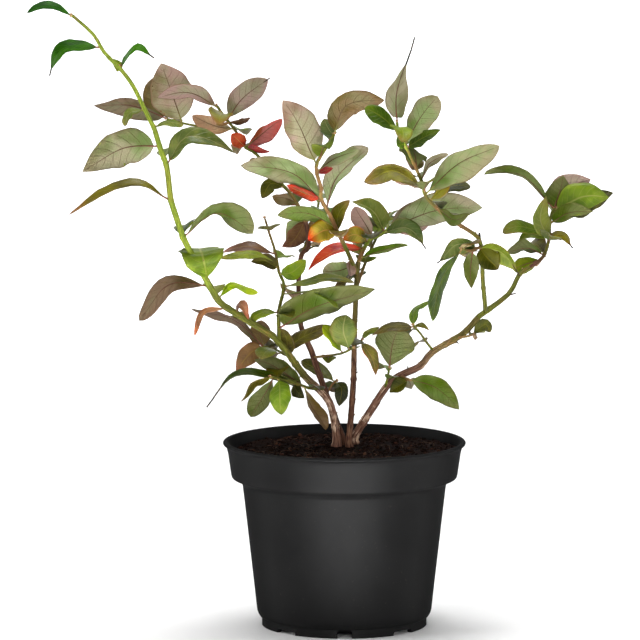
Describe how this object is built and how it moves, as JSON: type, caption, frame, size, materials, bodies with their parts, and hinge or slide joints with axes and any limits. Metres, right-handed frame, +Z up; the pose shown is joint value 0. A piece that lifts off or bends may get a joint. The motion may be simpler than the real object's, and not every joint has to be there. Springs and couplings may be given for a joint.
{
  "type": "potted blueberry bush",
  "caption": "Young blueberry bush with arching leafy shoots and autumn tints, standing in a round black plastic nursery pot of peat soil",
  "frame": {"origin": "the centre of the pot's flat underside, on the ground", "axes": "+Z up along the pot's axis; +X to the right and +Y to the back as the picture shows the bush"},
  "size_m": [0.454, 0.3547, 0.4934],
  "materials": {
    "pot": "black satin moulded plastic",
    "soil": "moist dark peat crumbs",
    "young_bark": "smooth green young bark",
    "brown_bark": "brown bark, peeling in pale strips",
    "leaf": "satin leaves, green above and grey-green below",
    "autumn_leaf": "satin leaves in pink, brown and red autumn tints"
  },
  "bodies": {
    "root": {"pot": "pot", "soil": "soil", "left_stem": "young_bark", "brown_stem": "brown_bark", "middle_stem": "brown_bark", "right_stem": "brown_bark", "right_bough": "young_bark", "upright_bough": "young_bark", "upper_right_bough": "brown_bark", "arch_low_leaves": "leaf", "arch_middle_leaves": "leaf", "arch_upper_leaves": "leaf", "arch_tip_leaves": "leaf", "side_shoot_leaves": "leaf", "upper_left_leaves": "autumn_leaf", "inner_left_leaves": "leaf", "middle_right_leaves": "leaf", "centre_low_leaves": "leaf", "centre_top_leaves": "leaf", "right_middle_leaves": "leaf", "upper_right_low_leaves": "leaf", "upper_right_top_leaves": "leaf", "right_spray_leaves": "leaf", "right_inner_leaves": "leaf", "right_low_leaves": "leaf", "middle_low_leaves": "leaf", "fork_leaves": "leaf", "right_elbow_leaves": "leaf", "right_under_leaves": "leaf", "lower_left_leaves": "leaf", "back_left_leaves": "leaf", "back_middle_leaves": "leaf", "back_right_leaves": "leaf"}
  },
  "joints": []
}
